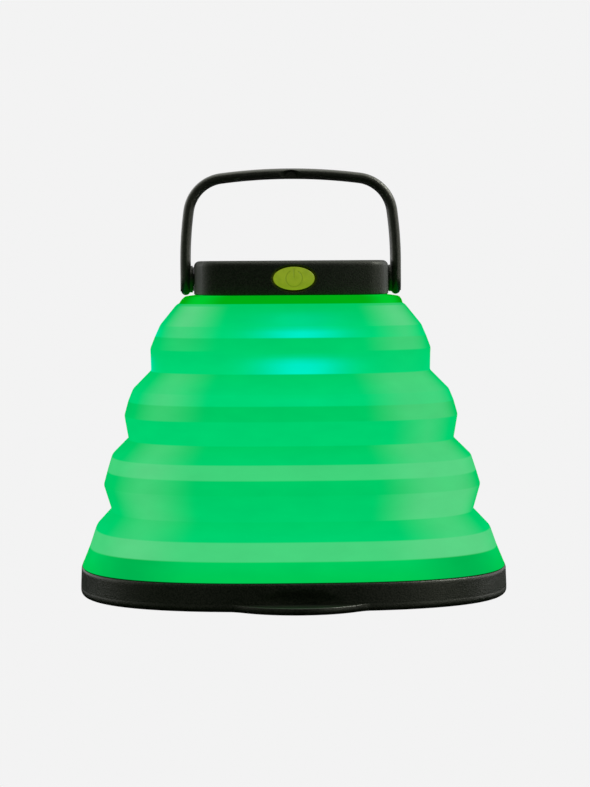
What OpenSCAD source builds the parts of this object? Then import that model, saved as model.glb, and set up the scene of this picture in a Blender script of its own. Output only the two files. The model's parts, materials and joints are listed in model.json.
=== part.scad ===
// Collapsible camping lantern: silicone bellows between a black base and a black lamp head.
// Millimetres, +Z up, origin at the centre of the underside, pull tab towards -Y.

/* [Base] */
// Width of the base over its sides
base_w = 120; // [110:1:132]
// Height of the base ring where the silicone meets it
base_h = 7.6; // [6.8:0.1:9]
// How much narrower the ring's top edge is than its widest line, each side
base_lean = 0.2; // [0:0.05:0.4]
// Height of the ring's widest line
base_belly = 1.1; // [0.9:0.1:2]
// Wall of the base ring
ring_wall = 2.8; // [2.4:0.1:3.2]
// Roundness of base and bellows seen from above: 2 is a circle, more is squarer
base_square = 2.8; // [2.5:0.1:3.2]
// Thickness of the bottom plate
plate_t = 2; // [1.8:0.1:2.4]
// Thickness of the ring's inner ledge
ledge_t = 1.2; // [1:0.1:1.5]
// How far the ledge reaches in from the ring's wall
ledge_w = 5.7; // [5.4:0.1:6.4]
// Width of the pull tab
tab_w = 34; // [28:1:38]
// How far the pull tab stands out
tab_out = 8; // [5:0.5:9]
// Thickness of the pull tab
tab_t = 2; // [1.6:0.1:2.4]
// Depth of the finger scoop above the tab
scoop_depth = 1.6; // [1:0.1:1.8]
// Diameter of the foot pads
pad_d = 8; // [6:0.5:9]
// How far each foot pad is set in from the corner screw, along X and Y
pad_inset = 7.4; // [6.4:0.1:12]

/* [Bellows] */
// Wall of the silicone, measured level
skin = 1.2; // [1:0.1:1.4]
// Wall of the lip that stands inside the base ring
lip_t = 1.6; // [1.4:0.1:1.7]
// How far the collar stands out from the head's side
collar_proud = 3.9; // [3.6:0.1:5]
// Height of the collar's edge
collar_h = 2.4; // [2.2:0.1:3]
// Thickness of the flange that the head clamps
flange_t = 1.4; // [1:0.1:1.6]
// Roundness of the collar and neck seen from above
neck_square = 4; // [3.8:0.1:4.2]

/* [Head] */
// Width of the head over its bowed sides
head_w = 55; // [50:0.5:62]
// Height of the head's case
head_h = 9.5; // [9.2:0.1:12]
// Height of the head's underside above the table, standing open
head_lift = 83.4; // [70:0.5:100]
// Corner radius of the head seen from above
head_corner = 5.9; // [5:0.1:6.5]
// Angle that a bowed side has turned by when it meets its corner
head_bow = 11.8; // [9:0.1:13]
// Rounding of the head's top edge
head_edge = 1.6; // [1:0.1:1.6]
// Wall of the head's case
head_wall = 1.6; // [1.4:0.1:1.8]
// Width of the rim round the solar panel's well
rim_w = 2.9; // [2.6:0.1:3.4]
// Floor of the head's case
floor_t = 1.4; // [1.2:0.1:1.6]
// How far the neck is set in from the head's side
neck_step = 2.5; // [2:0.1:3]
// Wall of the neck
neck_wall = 1.6; // [1.2:0.1:2]
// How far the neck reaches down below the case
neck_drop = 3.7; // [3.4:0.1:6]
// How far the clamp ring reaches out past the neck
clamp_reach = 3.4; // [2.5:0.1:3.6]
// Thickness of the clamp ring's web
web_t = 1.6; // [1.2:0.1:2.4]
// How far the light's window is set in from the neck's bore
window_step = 2.9; // [2:0.1:5]
// Thickness of the light's lens
lens_t = 1.2; // [1:0.1:1.6]

/* [Handle] */
// Thickness of the handle's strap
bail_t = 3; // [2.6:0.1:4]
// Depth of the handle's strap
bail_depth = 9.1; // [7.6:0.1:9.2]
// Gap between the head's side and the handle's legs
leg_gap = 0.84; // [0.7:0.02:1.4]
// Gap between the head's front and the handle folded down onto it
fold_gap = 0.7; // [0.6:0.1:6]
// Radius of the arched top bar
bail_arch = 155; // [140:1:170]
// Radius of the handle's corners
bail_bend = 12.2; // [11:0.1:12.6]
// Radius of each leg's inward curve above the head
leg_bend = 105; // [95:1:130]
// How far the pivots sit below the middle of the head's case
pivot_drop = 0.3; // [0:0.05:0.3]
// Diameter of the pivot pins
pin_d = 3; // [2:0.1:3.4]
// Diameter of the round hubs on the handle's legs
hub_d = 7.6; // [7:0.1:9]
// Width of the hook notch in the top bar
notch_w = 6.3; // [5:0.1:8]
// Depth of the hook notch
notch_depth = 1.2; // [0.8:0.1:1.5]

/* [Button] */
// Width of the oval power button
button_w = 11.6; // [10:0.1:13]
// Height of the oval power button
button_h = 6.7; // [6:0.1:7]
// How far the button's centre lies below the middle of the case
button_drop = 0.2; // [0:0.05:0.3]
// How far the button stands proud of the case
button_proud = 0.35; // [0.2:0.05:0.4]
// Travel of the button
button_travel = 0.5; // [0.3:0.05:0.6]
// Gap all round the button in its opening
button_gap = 0.25; // [0.2:0.05:0.4]

/* [Electronics] */
// Thickness of the circuit board
board_t = 1.2; // [1:0.1:1.2]
// Thickness of the top cover
cover_t = 1.2; // [1:0.1:1.4]
// Thickness of the solar panel's backing
panel_t = 0.6; // [0.5:0.05:0.7]
// Thickness of the solar cells
cell_t = 0.2; // [0.15:0.05:0.3]
// Thickness of the panel's clear cover
glaze_t = 0.4; // [0.3:0.05:0.5]
// How far the panel lies below the rim
panel_sink = 0.2; // [0.1:0.05:0.3]
// Number of solar cell strips
cell_count = 5; // [4:1:6]
// Width of the battery cell along X
battery_w = 32; // [24:1:33]
// Depth of the battery cell along Y
battery_d = 26; // [18:1:27]
// Thickness of the battery's foam pad
foam_t = 0.3; // [0.2:0.1:0.4]
// Width of the charging socket
usb_w = 8.9; // [7.5:0.1:9.4]
// Depth of the charging socket
usb_d = 7.4; // [6:0.1:8]
// Height of the charging socket
usb_h = 3.2; // [2.6:0.1:3.4]
// Width of the charging port's cover
flap_w = 14; // [12:0.5:16]
// Height of the port cover below its hinge line
flap_h = 5.6; // [5.2:0.1:5.8]
// Thickness of the port cover
flap_t = 0.7; // [0.6:0.05:0.8]
// Side length of each light-emitting diode
led_w = 3.5; // [3:0.1:4]

/* [Fasteners] */
// Shank diameter of all the screws
screw_d = 1.9; // [1.8:0.05:2]
// Head diameter of all the screws
screw_head_d = 3.8; // [3.4:0.1:4]
// Height of all the screw heads
screw_head_h = 1; // [0.8:0.1:1.1]

/* [Hidden] */
$fn = 48;

ring_steps = 64;   // points round a superellipse
arc_steps = 6;     // points along each small arc
slop = 0.01;       // overreach of a cut past the face it opens
through = 5;       // length of a cut that runs out past a wall
fit = 0.1;         // gap between a flat piece and the pocket that it drops into
loose = 0.3;       // gap round a piece that is dropped in from above or below
seat_gap = 0.1;    // gap between the silicone flange and what clamps it
thread_gap = 0.05; // radial gap between a screw's shank and the boss that holds it
shank_gap = 0.2;   // radial gap between a screw's shank and a clearance hole
pin_gap = 0.05;    // radial gap between a pivot pin and the handle's bore
pin_seat = 0.03;   // radial gap between a pivot pin and the case

base_a = base_w / 2;
ring_in = base_a - ring_wall;
ledge_in = ring_in - ledge_w;
z_ledge = plate_t + ledge_t;

z_head = head_lift;
z_floor = z_head + floor_t;
z_board = z_floor + board_t;
z_top = z_head + head_h;
z_glaze = z_top - panel_sink - glaze_t;
z_cells = z_glaze - cell_t;
z_panel = z_cells - panel_t;
z_cover = z_panel - cover_t;
head_a = head_w / 2;
case_in = head_a - head_wall;
neck_a = head_a - neck_step;
neck_in = neck_a - neck_wall;
z_neck = z_head - neck_drop;
opening_a = head_a - rim_w;
z_pivot = z_head + head_h / 2 - pivot_drop;
z_button = z_head + head_h / 2 - button_drop;
collar_out = head_a + collar_proud;
clamp_a = neck_a + clamp_reach;
window_a = neck_in - window_step;
bail_a = head_a + leg_gap + bail_t;
bail_top = z_pivot + head_a + fold_gap + bail_t;

// ---- outlines seen from above ----

function superellipse(a, square) = [for (i = [0 : ring_steps - 1])
    let (t = 360 * i / ring_steps,
         r = a * pow(pow(abs(cos(t)), square) + pow(abs(sin(t)), square), -1 / square))
    [r * cos(t), r * sin(t)]];

function turn(p, t) = [p[0] * cos(t) - p[1] * sin(t), p[0] * sin(t) + p[1] * cos(t)];

// A square with bowed sides and round corners. a is the half-width in the middle of a side.
function bowed_square(a, corner) =
    let (side_r = (a - corner * (cos(head_bow) - sin(head_bow))) / (sin(head_bow) + 1 - cos(head_bow)),
         middle = side_r * sin(head_bow) - corner * sin(head_bow),
         side = [for (i = [-arc_steps + 1 : arc_steps - 1])
             let (t = head_bow * i / arc_steps) [a - side_r + side_r * cos(t), side_r * sin(t)]],
         bend = [for (i = [0 : arc_steps])
             let (t = head_bow + (90 - 2 * head_bow) * i / arc_steps)
             [middle + corner * cos(t), middle + corner * sin(t)]])
    [for (q = [0 : 3]) for (p = concat(side, bend)) turn(p, 90 * q)];

// The head's outline, moved in by inset all round.
function head_outline(inset) = bowed_square(head_a - inset, head_corner - inset);

function ellipse(w, h) = [for (i = [0 : $fn - 1])
    let (t = 360 * i / $fn) [w / 2 * cos(t), h / 2 * sin(t)]];

// ---- shared solids ----

// Skins a list of rings of points, from the lowest ring to the highest. A looped skin is a
// closed band: its rings go up the outside and down the inside.
module skin_rings(rings, looped = false) {
    n = len(rings[0]);
    m = len(rings);
    walls = [for (k = [0 : (looped ? m - 1 : m - 2)]) for (i = [0 : n - 1])
        let (up = (k + 1) % m, next = (i + 1) % n)
        [k * n + i, up * n + i, up * n + next, k * n + next]];
    bottom = [for (i = [0 : n - 1]) i];
    top = [for (i = [0 : n - 1]) m * n - 1 - i];
    polyhedron([for (ring = rings) for (p = ring) p], looped ? walls : concat(walls, [bottom, top]),
        convexity = 8);
}

function lift(outline, z) = [for (p = outline) [p[0], p[1], z]];

// A slab with the given outline between two heights.
module slab(outline, z0, z1) {
    translate([0, 0, z0]) linear_extrude(z1 - z0) polygon(outline);
}

// A level band between two superellipses.
module band(out_a, in_a, square, z0, z1) {
    difference() {
        slab(superellipse(out_a, square), z0, z1);
        slab(superellipse(in_a, square), z0 - slop, z1 + slop);
    }
}

module at_corners(d) {
    for (x = [-1, 1])
        for (y = [-1, 1])
            translate([x * d, y * d, 0]) children();
}

// A block centred in X and Y, standing on z0.
module block(size, x, y, z0) {
    translate([x - size[0] / 2, y - size[1] / 2, z0]) cube(size);
}

// A cylinder along Y between two depths.
module rod_y(r, y0, y1, x, z) {
    translate([x, y0, z]) rotate([-90, 0, 0]) cylinder(r = r, h = y1 - y0);
}

// A cylinder along X between two places.
module rod_x(r, x0, x1, y, z) {
    translate([x0, y, z]) rotate([0, 90, 0]) cylinder(r = r, h = x1 - x0);
}

// Both sides of the head, from the +X side's solid.
module both_sides() {
    children();
    mirror([1, 0, 0]) children();
}

module screw(z_seat, z_tip) {
    translate([0, 0, z_seat - screw_head_h]) cylinder(d = screw_head_d, h = screw_head_h);
    translate([0, 0, z_seat]) cylinder(d = screw_d, h = z_tip - z_seat);
}

// ---- base ----

boss_r = 3.2;                              // bosses that take the base screws
boss_gap = 0.4;                            // gap between the bosses and the ledge
boss_at = ledge_in - boss_r - boss_gap;
boss_diagonal = boss_at * pow(2, -1 / base_square);
base_screw_places = [[boss_at, 0], [0, boss_at], [-boss_at, 0], [0, -boss_at],
    [boss_diagonal, boss_diagonal], [-boss_diagonal, boss_diagonal],
    [-boss_diagonal, -boss_diagonal], [boss_diagonal, -boss_diagonal]];
head_sink = screw_head_h + fit;            // depth of the pockets for screw heads
frame_h = 3.2;                             // height of the clamp frame above the ledge
frame_reach = 1.1;                         // how far the frame reaches in past the ledge
boss_top = z_ledge + frame_h;
boss_end = 1.2;                            // solid end of a boss above its screw
base_screw_tip = boss_top - boss_end;
pad_at = boss_diagonal - pad_inset;
pad_h = 1;                                 // thickness of the foot pads
foot_w = 2.2;                              // width of the ring's foot round the bottom plate
foot_in = ring_in - foot_w;
edge_r = 0.9;                              // rounding of the ring's bottom edge
scoop_r = 4.4;                             // section radius of the finger scoop
scoop_sweep = 30;                          // radius that the scoop's section is swept round
tab_r = (pow(tab_w / 2, 2) + pow(tab_out, 2)) / (2 * tab_out);
lip_gap = 0.2;                             // gap between the silicone's lip and the ring
lip_out = ring_in - lip_gap;

// Half-width and height of the ring's section: up the outside, then down the inside.
function base_section() = concat(
    [for (i = [0 : arc_steps - 2]) let (t = -90 + 90 * i / (arc_steps - 1))
        [base_a - edge_r + edge_r * cos(t), base_belly + base_belly * sin(t)]],
    [[base_a, base_belly], [base_a - base_lean, base_h], [ring_in, base_h],
     [ring_in, z_ledge], [ledge_in, z_ledge], [ledge_in, plate_t], [foot_in, plate_t], [foot_in, 0]]);

module base_ring() {
    color("#181a15")
    difference() {
        union() {
            skin_rings([for (p = base_section()) lift(superellipse(p[0], base_square), p[1])], true);
            intersection() {
                translate([0, tab_r - base_a - tab_out, 0]) cylinder(r = tab_r, h = tab_t, $fn = 96);
                translate([-tab_w / 2, -base_a - tab_out, 0])
                    cube([tab_w, tab_out + ring_wall / 2, tab_t]);
            }
        }
        translate([0, scoop_depth - base_a - scoop_sweep - scoop_r, tab_t])
            rotate_extrude($fn = 96) translate([scoop_sweep, 0]) intersection() {
                circle(r = scoop_r);
                translate([-scoop_r, 0]) square(2 * scoop_r);
            }
    }
}

module base_plate() {
    color("#20221e")
    difference() {
        slab(superellipse(foot_in - fit, base_square), 0, plate_t);
        for (p = base_screw_places) translate([p[0], p[1], -slop]) {
            cylinder(r = screw_d / 2 + shank_gap, h = plate_t + 2 * slop);
            cylinder(r = screw_head_d / 2 + shank_gap, h = head_sink + slop);
        }
        at_corners(pad_at) translate([0, 0, -slop]) cylinder(d = pad_d + 2 * fit, h = pad_h + slop);
    }
}

module clamp_frame() {
    color("#2a2c28")
    difference() {
        union() {
            band(lip_out - lip_t - fit, ledge_in - frame_reach, base_square, z_ledge, boss_top);
            for (p = base_screw_places) translate([p[0], p[1], plate_t])
                cylinder(r = boss_r, h = boss_top - plate_t);
        }
        for (p = base_screw_places) translate([p[0], p[1], plate_t - slop])
            cylinder(r = screw_d / 2 + thread_gap, h = base_screw_tip - plate_t + loose);
    }
}

module base_screws() {
    color("#9a9c9e")
    for (p = base_screw_places)
        translate([p[0], p[1], 0]) screw(head_sink, base_screw_tip);
}

module foot_pads() {
    color("#35373a")
    at_corners(pad_at) cylinder(d = pad_d, h = pad_h);
}

// ---- bellows ----

// Each tier from the neck down: its fold, shoulder, crease and rim. Each pair says how far the
// line lies out from the collar to the skirt, and how far down, in hundredths.
tiers = [
    [[3, 0.7], [19, 8.2], [24, 12.4], [29, 17.2]],
    [[28.5, 25.8], [47, 33], [51.5, 37.2], [55.5, 42.8]],
    [[51.5, 51.8], [68.5, 58.3], [73, 63.8], [77, 69.2]],
    [[69.5, 79], [86, 85.8], [92, 92.6]]];
tier_points = [for (tier = tiers) for (p = tier) p];
// The collar from its edge up to the case. Each pair says how far the line lies in towards the
// case's side and how far up, in hundredths.
collar_points = [[0, 0], [10, 38], [33, 79], [92, 92]];
skirt_step = 0.2;    // how far the skirt's edge is set in from the ring's top edge
flange_tuck = 0.4;   // how far the case covers the collar's inner edge
collar_fade = 0.19;  // share of the bellows' height over which the collar's squareness fades
skirt_a = base_a - base_lean - skirt_step;
z_collar = z_head - collar_h;
z_flange = z_head - seat_gap - flange_t;

// Half-width and height of a tier's line.
function tier_line(p) = [collar_out + (skirt_a - collar_out) * p[0] / 100,
    z_collar - (z_collar - base_h) * p[1] / 100];

function collar_line(p) = [collar_out - collar_proud * p[0] / 100, z_collar + collar_h * p[1] / 100];

// The collar is as square as the neck, and the tiers are as round as the base.
function squareness(z) = base_square
    + (neck_square - base_square) * max(0, 1 - (z_collar - z) / (z_collar - base_h) / collar_fade);

module bellows() {
    lines = [for (i = [len(tier_points) - 1 : -1 : 0]) tier_line(tier_points[i])];
    outside = concat([[lip_out, z_ledge], [lip_out, base_h], [skirt_a, base_h]], lines,
        [for (p = collar_points) collar_line(p)], [[head_a - flange_tuck, z_head - seat_gap]]);
    inside = concat([[neck_a + loose, z_head - seat_gap], [neck_a + loose, z_flange],
         [collar_line(collar_points[2])[0] - skin, z_flange]],
        [for (i = [0 : len(lines) - 1]) let (p = lines[len(lines) - 1 - i]) [p[0] - skin, p[1]]],
        [[lip_out - lip_t, base_h], [lip_out - lip_t, z_ledge]]);
    color("#00cf69")
    skin_rings([for (p = concat(outside, inside)) lift(superellipse(p[0], squareness(p[1])), p[1])],
        true);
}

// ---- head ----

post_r = 2.8;                        // radius of the screw posts inside the neck
post_inset = 1.7;                    // how far the posts are set in from the neck's corners
post_at = neck_in * pow(2, -1 / neck_square) - post_inset;
post_clear = post_r + loose;         // radius that plates round the posts leave free
board_a = opening_a - loose;         // the board drops in through the well in the top
ring_gap = 0.15;                     // gap between the neck and the clamp ring's wall
clamp_top = z_flange - 2 * seat_gap;
z_web = z_neck - web_t;
head_screw_end = 1.6;                // how far the head's screws end below the top cover
button_face = -head_a - button_proud;
button_flange = [1.4, 0.8];          // how far the button's flange reaches out, and its thickness
flange_y = -case_in + 0.5;           // front of the button's flange, behind the bowed wall
flange_back = flange_y + button_flange[1];
usb_y = case_in - 0.5;               // mouth of the charging socket
port_gap = 0.3;                      // gap all round the socket's mouth in the wall
port_w = usb_w + 2 * port_gap + fit;
port_h = usb_h + 2 * port_gap;
z_port = z_board + usb_h / 2;
hinge_r = 0.4;                       // bead that the port cover turns on
recess_depth = 1;                    // depth of the port cover's recess in the wall
recess_y = head_a - recess_depth;
flap_y = recess_y + hinge_r;         // depth of the hinge line
flap_z = z_port + port_h / 2 + 1.5;  // height of the hinge line
flap_gap = 0.2;                      // gap round the port cover in its recess
nub_step = 0.7;                      // gap round the port cover's nub in the port
nub_t = 0.9;                         // how far the nub reaches into the port

function case_ring(inset, z) = lift(head_outline(inset), z);

module case_solid() {
    skin_rings(concat([case_ring(0, z_head)],
        [for (i = [0 : arc_steps]) let (t = 90 * i / arc_steps)
            case_ring(head_edge * (1 - cos(t)), z_top - head_edge + head_edge * sin(t))]));
}

module head_shell() {
    color("#14160f")
    union() {
        difference() {
            union() {
                case_solid();
                slab(superellipse(neck_a, neck_square), z_neck, z_head + floor_t / 2);
            }
            slab(head_outline(head_wall), z_floor, z_cover);
            slab(head_outline(rim_w), z_cover - slop, z_top + slop);
            slab(superellipse(neck_in, neck_square), z_neck - slop, z_floor + slop);
            translate([0, 0, z_button]) rotate([90, 0, 0]) translate([0, 0, opening_a - slop])
                linear_extrude(through)
                polygon(ellipse(button_w + 2 * button_gap, button_h + 2 * button_gap));
            both_sides() rod_x(pin_d / 2 + pin_seat, opening_a, head_a + through, 0, z_pivot);
            block([port_w, 2 * through, port_h], 0, head_a, z_port - port_h / 2);
            translate([-flap_w / 2 - flap_gap, recess_y, flap_z - flap_h - flap_gap])
                cube([flap_w + 2 * flap_gap, through, head_h]);
        }
        difference() {
            at_corners(post_at) translate([0, 0, z_neck]) cylinder(r = post_r, h = z_floor - z_neck);
            at_corners(post_at) translate([0, 0, z_neck - slop])
                cylinder(r = screw_d / 2 + shank_gap, h = z_floor - z_neck + 2 * slop);
        }
    }
}

module neck_ring() {
    color("#d9dbd6")
    difference() {
        union() {
            band(clamp_a, window_a, neck_square, z_web, z_neck);
            band(clamp_a, neck_a + ring_gap, neck_square, z_neck - slop, clamp_top);
        }
        at_corners(post_at) translate([0, 0, z_web - slop])
            cylinder(r = screw_d / 2 + shank_gap, h = web_t + 2 * slop);
    }
}

module diffuser_lens() {
    color("#eef4ee")
    difference() {
        union() {
            slab(superellipse(neck_in - loose, neck_square), z_neck, z_neck + lens_t);
            slab(superellipse(window_a - fit, neck_square), z_web + fit, z_neck + slop);
        }
        at_corners(post_at) translate([0, 0, z_neck - slop]) cylinder(r = post_clear, h = through);
    }
}

module head_screws() {
    color("#9a9c9e")
    at_corners(post_at) screw(z_web, z_cover - head_screw_end);
}

led_at = 9;     // place of the diodes along X and Y
led_h = 0.8;    // height of the diodes
led_gap = 0.5;  // gap round each diode in the reflector tray
tray_t = 1;     // thickness of the reflector tray

module reflector_tray() {
    color("#f2f2ee")
    difference() {
        slab(superellipse(neck_in - loose, neck_square), z_floor - tray_t, z_floor);
        at_corners(post_at) translate([0, 0, z_floor - through]) cylinder(r = post_clear, h = 2 * through);
        for (x = [-led_at, 0, led_at]) for (y = [-led_at, led_at])
            block([led_w + 2 * led_gap, led_w + 2 * led_gap, tray_t + 2 * slop], x, y,
                z_floor - tray_t - slop);
    }
}

module white_leds() {
    color("#f4e9a0")
    at_corners(led_at) block([led_w, led_w, led_h], 0, 0, z_floor - led_h);
}

module colour_leds() {
    color("#e8f4ff")
    for (y = [-led_at, led_at]) block([led_w, led_w, led_h], 0, y, z_floor - led_h);
}

module circuit_board() {
    color("#0f5b36")
    difference() {
        slab(head_outline(head_a - board_a), z_floor, z_board);
        at_corners(post_at) translate([0, 0, z_floor - slop])
            cylinder(r = screw_d / 2 + shank_gap, h = board_t + 2 * slop);
        translate([-button_flange_w / 2 - 1, flange_back + button_travel + fit - through, z_floor - slop])
            cube([button_flange_w + 2, through, board_t + 2 * slop]);
    }
}

chip_w = 3.4;                          // width of the chips
chip_h = 1.1;                          // height of the chips
chip_x = battery_w / 2 + chip_w + 1;   // column of chips beside the battery

// Chips of one width on the board, each with its own depth.
module board_chips() {
    color("#1d1f22")
    union() {
        block([chip_w, 1.5 * chip_w, chip_h], -chip_x, 2 * chip_w, z_board);
        block([chip_w, chip_w, chip_h], -chip_x, -2 * chip_w, z_board);
        block([chip_w, chip_w, chip_h], 3 * chip_w, 2 * chip_w - board_a, z_board);
        block([chip_w, 1.5 * chip_w, chip_h], chip_x, -2.5 * chip_w, z_board);
    }
}

battery_y = 1;    // how far the battery lies behind the middle
foam_inset = 2;   // how far the foam pad is set in from the battery's sides
battery_h = z_cover - foam_t - z_board;

module battery_cell() {
    color("#b9bcc0")
    block([battery_w, battery_d, battery_h], 0, battery_y, z_board);
}

module battery_pad() {
    color("#4a4c50")
    block([battery_w - 2 * foam_inset, battery_d - 2 * foam_inset, foam_t], 0, battery_y,
        z_cover - foam_t);
}

lead_r = 0.5;                          // radius of the leads
lead_out = 2.5;                        // how far a battery lead runs before it turns down
lead_up = 1.5;                         // height of the battery leads above the board
lead_pitch = 4;                        // distance between two battery leads
panel_lead_x = battery_w / 2 + lead_out + 6 * lead_r;
panel_lead_pitch = 3;                  // distance between the two panel leads

module battery_leads() {
    color("#b02018")
    for (side = [-1, 1]) {
        x = battery_w / 2;
        y = battery_y + side * lead_pitch / 2;
        z = z_board + lead_up;
        rod_x(lead_r, x, x + lead_out, y, z);
        translate([x + lead_out, y, z]) sphere(r = lead_r);
        translate([x + lead_out, y, z_board]) cylinder(r = lead_r, h = lead_up);
    }
}

module at_panel_leads() {
    for (side = [-1, 1])
        translate([panel_lead_x, battery_y + lead_pitch / 2 + side * panel_lead_pitch / 2, 0]) children();
}

module panel_leads() {
    color("#202020")
    at_panel_leads() translate([0, 0, z_board]) cylinder(r = lead_r, h = z_panel - z_board);
}

switch_w = 6;                          // width of the switch
switch_d = 4.3;                        // depth of the switch
switch_h = 3.6;                        // height of the switch
switch_y = flange_back + 3.1;          // front face of the switch
plunger_r = 1;                         // radius of the switch's plunger
plunger_gap = 0.06;                    // gap round the plunger in the switch
plunger_out = 1.8;                     // how far the plunger stands out of the switch
plunger_in = 2.6;                      // how far the plunger reaches into the switch at rest
plunger_tip = switch_y - plunger_out;
stem_r = 1.4;                          // radius of the stem behind the button
button_flange_w = button_w + 2 * button_flange[0];

module tact_switch() {
    color("#3a3d42")
    difference() {
        translate([-switch_w / 2, switch_y, z_board]) cube([switch_w, switch_d, switch_h]);
        rod_y(plunger_r + plunger_gap, switch_y - slop, switch_y + plunger_in + button_travel + loose, 0,
            z_button);
    }
}

module switch_plunger() {
    color("#c8c4b8")
    rod_y(plunger_r, plunger_tip, switch_y + plunger_in, 0, z_button);
}

module button_cap() {
    color("#86a32a")
    union() {
        translate([0, 0, z_button]) rotate([90, 0, 0]) translate([0, 0, -flange_y - slop])
            linear_extrude(flange_y + slop - button_face) polygon(ellipse(button_w, button_h));
        translate([-button_flange_w / 2, flange_y, z_floor + fit])
            cube([button_flange_w, button_flange[1], z_cover - z_floor - 2 * fit]);
        rod_y(stem_r, flange_back - fit, plunger_tip, 0, z_button);
    }
}

usb_wall = 0.3;    // wall of the charging socket
tongue_t = 0.7;    // thickness of the tongue inside the charging socket
tongue_gap = 0.75; // gap between the tongue and the socket's sides

module usb_socket() {
    color("#c4c6c8")
    difference() {
        block([usb_w, usb_d, usb_h], 0, usb_y - usb_d / 2, z_board);
        block([usb_w - 2 * usb_wall, usb_d, usb_h - 2 * usb_wall], 0, usb_y - usb_d / 2 + 1,
            z_board + usb_wall);
    }
}

module usb_tongue() {
    color("#2b2d30")
    block([usb_w - 2 * usb_wall - 2 * tongue_gap, usb_d - 2, tongue_t], 0, usb_y - usb_d / 2,
        z_port - tongue_t / 2);
}

// A soft plate in a recess in the back wall. It turns up over the rim on the bead along its
// upper edge.
module port_cover() {
    color("#23251f")
    union() {
        translate([-flap_w / 2, flap_y - flap_t / 2, flap_z - flap_h]) cube([flap_w, flap_t, flap_h]);
        rod_x(hinge_r, -flap_w / 2, flap_w / 2, flap_y, flap_z);
        translate([-port_w / 2 + nub_step, flap_y - flap_t / 2 - nub_t, z_port - port_h / 2 + nub_step])
            cube([port_w - 2 * nub_step, nub_t + slop, port_h - 2 * nub_step]);
    }
}

cap_post_r = 2.2;  // posts under the top cover that take the head's screws

module top_cover() {
    color("#1b1d18")
    difference() {
        union() {
            slab(head_outline(rim_w + fit), z_cover, z_panel);
            at_corners(post_at) translate([0, 0, z_board])
                cylinder(r = cap_post_r, h = z_cover - z_board + slop);
        }
        at_corners(post_at) translate([0, 0, z_board - slop])
            cylinder(r = screw_d / 2 + thread_gap, h = z_cover - z_board - head_screw_end + loose);
        at_panel_leads() translate([0, 0, z_cover - slop])
            cylinder(r = lead_r + shank_gap, h = cover_t + 2 * slop);
    }
}

panel_gap = 0.4;      // gap round the solar panel in its well
cell_gap = 0.6;       // gap between two cell strips
cell_edge = 2.5;       // bare edge of the panel beside the outer cell strips
cell_end = 3.5;       // bare edge of the panel past the strips' ends
panel_a = opening_a - panel_gap;

module solar_panel() {
    color("#101820")
    slab(head_outline(rim_w + panel_gap), z_panel, z_cells);
}

module solar_cells() {
    pitch = (2 * (panel_a - cell_edge) + cell_gap) / cell_count;
    color("#18264a")
    for (i = [0 : cell_count - 1])
        block([pitch - cell_gap, 2 * (panel_a - cell_end), cell_t], (i - (cell_count - 1) / 2) * pitch, 0,
            z_cells);
}

module panel_glaze() {
    color("#c8d4dc")
    slab(head_outline(rim_w + panel_gap), z_glaze, z_glaze + glaze_t);
}

// ---- handle ----

washer_t = 0.3;                       // thickness of the pivot washers
washer_gap = 0.02;                    // gap between a washer and the case
hub_gap = 0.08;                       // gap between a washer and the hub
leg_skin = 1.15;                      // plastic that covers a pin's outer end
pin_head = [0.6, 1.2];                // how far a pin's head stands out, and its thickness
washer_x = head_a + washer_gap;
hub_x = washer_x + washer_t + hub_gap;
pin_tip = bail_a - leg_skin;
bail_reach = bail_depth / 2;
foot_spare = 1;                       // extra length of the legs, which the round ends trim
notch_cover = 0.5;                    // plastic above the hook notch

module pivot_pins() {
    color("#b4b6b8")
    both_sides() {
        rod_x(pin_d / 2, case_in - slop - pin_gap - fit, pin_tip, 0, z_pivot);
        rod_x(pin_d / 2 + pin_head[0], case_in - fit - pin_head[1], case_in - fit, 0, z_pivot);
    }
}

module pivot_washers() {
    color("#1c1e1a")
    both_sides() difference() {
        rod_x(hub_d / 2 - 2 * shank_gap, washer_x, washer_x + washer_t, 0, z_pivot);
        rod_x(pin_d / 2 + fit, washer_x - slop, washer_x + washer_t + slop, 0, z_pivot);
    }
}

// Right half of the handle's outline seen from the front, moved in by inset: straight up to the
// head's top, then three arcs that run into each other: leg, corner and top bar.
function bail_half(inset) =
    let (arch_z = bail_top - bail_arch,
         leg_x = bail_a - leg_bend,
         arch_span = bail_arch - bail_bend,
         leg_span = leg_bend - bail_bend,
         apart = norm([leg_x, z_top - arch_z]),
         high = atan2(z_top - arch_z, leg_x)
             - acos((arch_span * arch_span + apart * apart - leg_span * leg_span) / (2 * arch_span * apart)),
         bend = [arch_span * cos(high), arch_z + arch_span * sin(high)],
         low = atan2(bend[1] - z_top, bend[0] - leg_x))
    concat([[bail_a - inset, z_pivot - bail_reach - foot_spare], [bail_a - inset, z_top]],
        arc([leg_x, z_top], leg_bend - inset, 0, low, arc_steps),
        arc(bend, bail_bend - inset, low, high, 2 * arc_steps),
        arc([0, arch_z], bail_arch - inset, high, 90, arc_steps));

// Points along an arc, without its first point.
function arc(centre, r, start, end, steps) = [for (i = [1 : steps])
    let (t = start + (end - start) * i / steps) centre + r * [cos(t), sin(t)]];

function flip(points) = [for (i = [len(points) - 2 : -1 : 0]) [-points[i][0], points[i][1]]];

function backwards(points) = [for (i = [len(points) - 1 : -1 : 0]) points[i]];

function bail_outline() = concat(bail_half(0), flip(bail_half(0)),
    backwards(concat(bail_half(bail_t), flip(bail_half(bail_t)))));

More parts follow.
